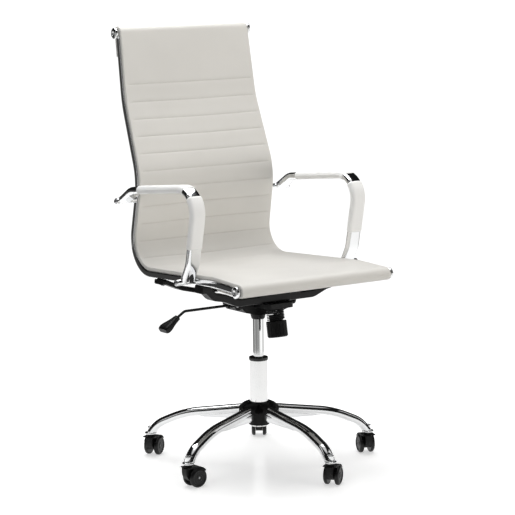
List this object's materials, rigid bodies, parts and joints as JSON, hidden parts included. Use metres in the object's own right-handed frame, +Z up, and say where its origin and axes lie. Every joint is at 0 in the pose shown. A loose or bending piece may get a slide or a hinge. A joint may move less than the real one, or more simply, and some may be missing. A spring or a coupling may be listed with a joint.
{
  "type": "swivel office chair",
  "caption": "High-back swivel office chair: ribbed leather sling on chromed side rails, loop arms, gas column, tilt mechanism and a chromed star base on casters.",
  "frame": {"origin": "on the floor, under the column's axis", "axes": "+Z up along the column; the sitter faces -Y, and +X is at the sitter's left hand"},
  "size_m": [0.6228, 0.6773, 1.1312],
  "materials": {
    "chrome": "polished",
    "black_paint": "satin powder coat",
    "black_plastic": "fine moulded grain",
    "tread": "satin",
    "steel": "zinc plated",
    "white_leather": "smooth, fine grain"
  },
  "bodies": {
    "base": {"base_hub": "black_paint", "hub_cover": "black_plastic", "leg_sockets": "chrome", "column_tube": "chrome", "column_bushing": "black_plastic", "thrust_bearing": "steel", "leg_1": "chrome", "leg_2": "chrome", "leg_3": "chrome", "leg_4": "chrome", "leg_5": "chrome"},
    "spindle": {"piston_rod": "steel"},
    "lift": {"gas_cylinder": "chrome", "mech_housing": "black_paint"},
    "valve": {"valve_pin": "steel"},
    "lever_carrier": {"lever_bush": "black_plastic"},
    "lever": {"lever_rod": "black_paint", "lever_paddle": "black_plastic"},
    "seat": {"seat_plate": "black_paint", "tilt_pin": "steel", "tension_bolt": "steel", "tension_spring": "black_paint", "stretcher_front": "black_paint", "stretcher_rear": "black_paint", "rail_left": "chrome", "rail_right": "chrome", "rail_caps": "chrome", "cross_bars": "steel", "arm_left": "chrome", "arm_right": "chrome", "arm_sleeves_left": "white_leather", "arm_sleeves_right": "white_leather", "sling": "white_leather", "frame_screws": "steel"},
    "knob": {"tension_knob": "black_plastic"},
    "caster_1": {"caster_1_hood": "black_plastic", "caster_1_stem": "steel", "caster_1_axle": "steel"},
    "wheel_1_a": {"caster_1_wheel_a": "tread"},
    "wheel_1_b": {"caster_1_wheel_b": "tread"},
    "caster_2": {"caster_2_hood": "black_plastic", "caster_2_stem": "steel", "caster_2_axle": "steel"},
    "wheel_2_a": {"caster_2_wheel_a": "tread"},
    "wheel_2_b": {"caster_2_wheel_b": "tread"},
    "caster_3": {"caster_3_hood": "black_plastic", "caster_3_stem": "steel", "caster_3_axle": "steel"},
    "wheel_3_a": {"caster_3_wheel_a": "tread"},
    "wheel_3_b": {"caster_3_wheel_b": "tread"},
    "caster_4": {"caster_4_hood": "black_plastic", "caster_4_stem": "steel", "caster_4_axle": "steel"},
    "wheel_4_a": {"caster_4_wheel_a": "tread"},
    "wheel_4_b": {"caster_4_wheel_b": "tread"},
    "caster_5": {"caster_5_hood": "black_plastic", "caster_5_stem": "steel", "caster_5_axle": "steel"},
    "wheel_5_a": {"caster_5_wheel_a": "tread"},
    "wheel_5_b": {"caster_5_wheel_b": "tread"}
  },
  "joints": [
    {"name": "seat_swivel", "type": "hinge", "parent": "base", "child": "spindle", "pos_m": [0, 0, 0.114], "axis": [0, 0, 1], "continuous": true},
    {"name": "seat_height", "type": "slide", "parent": "spindle", "child": "lift", "axis": [0, 0, 1], "range_m": [-0.09, 0]},
    {"name": "valve_press", "type": "slide", "parent": "lift", "child": "valve", "axis": [0, 0, -1], "range_m": [0, 0.0046], "stiffness_N_per_m": 200, "springref_m": -0.002},
    {"name": "lock_pull", "type": "slide", "parent": "lift", "child": "lever_carrier", "axis": [-1, 0, 0], "range_m": [0, 0.012]},
    {"name": "lever_lift", "type": "hinge", "parent": "lever_carrier", "child": "lever", "pos_m": [-0.072, 0, 0.428], "axis": [0, 1, 0], "range_deg": [0, 3.5], "stiffness_Nm_per_rad": 8, "springref_deg": -2.86},
    {"name": "seat_tilt", "type": "hinge", "parent": "lift", "child": "seat", "pos_m": [0, -0.034, 0.431], "axis": [-1, 0, 0], "range_deg": [0, 13], "stiffness_Nm_per_rad": 200, "springref_deg": -17.19, "deforming": ["tension_spring"]},
    {"name": "knob_turn", "type": "hinge", "parent": "seat", "child": "knob", "pos_m": [0, -0.08309, 0.3679], "axis": [0, -0.1771, -0.9842], "range_deg": [0, 1080]},
    {"name": "caster_1_swivel", "type": "hinge", "parent": "base", "child": "caster_1", "pos_m": [0.17567, 0.24565, 0.06], "axis": [0, 0, 1], "continuous": true},
    {"name": "wheel_1_a_spin", "type": "hinge", "parent": "caster_1", "child": "wheel_1_a", "pos_m": [0.18714, 0.26203, 0.025], "axis": [-0.8192, 0.5736, 0], "continuous": true},
    {"name": "wheel_1_b_spin", "type": "hinge", "parent": "caster_1", "child": "wheel_1_b", "pos_m": [0.18714, 0.26203, 0.025], "axis": [-0.8192, 0.5736, 0], "continuous": true},
    {"name": "caster_2_swivel", "type": "hinge", "parent": "base", "child": "caster_2", "pos_m": [-0.17934, 0.24298, 0.06], "axis": [0, 0, 1], "continuous": true},
    {"name": "wheel_2_a_spin", "type": "hinge", "parent": "caster_2", "child": "wheel_2_a", "pos_m": [-0.1622, 0.25328, 0.025], "axis": [-0.515, 0.8572, 0], "continuous": true},
    {"name": "wheel_2_b_spin", "type": "hinge", "parent": "caster_2", "child": "wheel_2_b", "pos_m": [-0.1622, 0.25328, 0.025], "axis": [-0.515, 0.8572, 0], "continuous": true},
    {"name": "caster_3_swivel", "type": "hinge", "parent": "base", "child": "caster_3", "pos_m": [-0.28651, -0.09548, 0.06], "axis": [0, 0, 1], "continuous": true},
    {"name": "wheel_3_a_spin", "type": "hinge", "parent": "caster_3", "child": "wheel_3_a", "pos_m": [-0.26656, -0.09408, 0.025], "axis": [-0.0698, 0.9976, 0], "continuous": true},
    {"name": "wheel_3_b_spin", "type": "hinge", "parent": "caster_3", "child": "wheel_3_b", "pos_m": [-0.26656, -0.09408, 0.025], "axis": [-0.0698, 0.9976, 0], "continuous": true},
    {"name": "caster_4_swivel", "type": "hinge", "parent": "base", "child": "caster_4", "pos_m": [0.00227, -0.30199, 0.06], "axis": [0, 0, 1], "continuous": true},
    {"name": "wheel_4_a_spin", "type": "hinge", "parent": "caster_4", "child": "wheel_4_a", "pos_m": [0.01865, -0.29052, 0.025], "axis": [-0.5736, 0.8192, 0], "continuous": true},
    {"name": "wheel_4_b_spin", "type": "hinge", "parent": "caster_4", "child": "wheel_4_b", "pos_m": [0.01865, -0.29052, 0.025], "axis": [-0.5736, 0.8192, 0], "continuous": true},
    {"name": "caster_5_swivel", "type": "hinge", "parent": "base", "child": "caster_5", "pos_m": [0.28791, -0.09116, 0.06], "axis": [0, 0, 1], "continuous": true},
    {"name": "wheel_5_a_spin", "type": "hinge", "parent": "caster_5", "child": "wheel_5_a", "pos_m": [0.29475, -0.07237, 0.025], "axis": [-0.9397, 0.342, 0], "continuous": true},
    {"name": "wheel_5_b_spin", "type": "hinge", "parent": "caster_5", "child": "wheel_5_b", "pos_m": [0.29475, -0.07237, 0.025], "axis": [-0.9397, 0.342, 0], "continuous": true}
  ],
  "couplings": [
    {"joint": "valve_press", "follows": "lever_lift", "m_per_rad": 0.072}
  ]
}
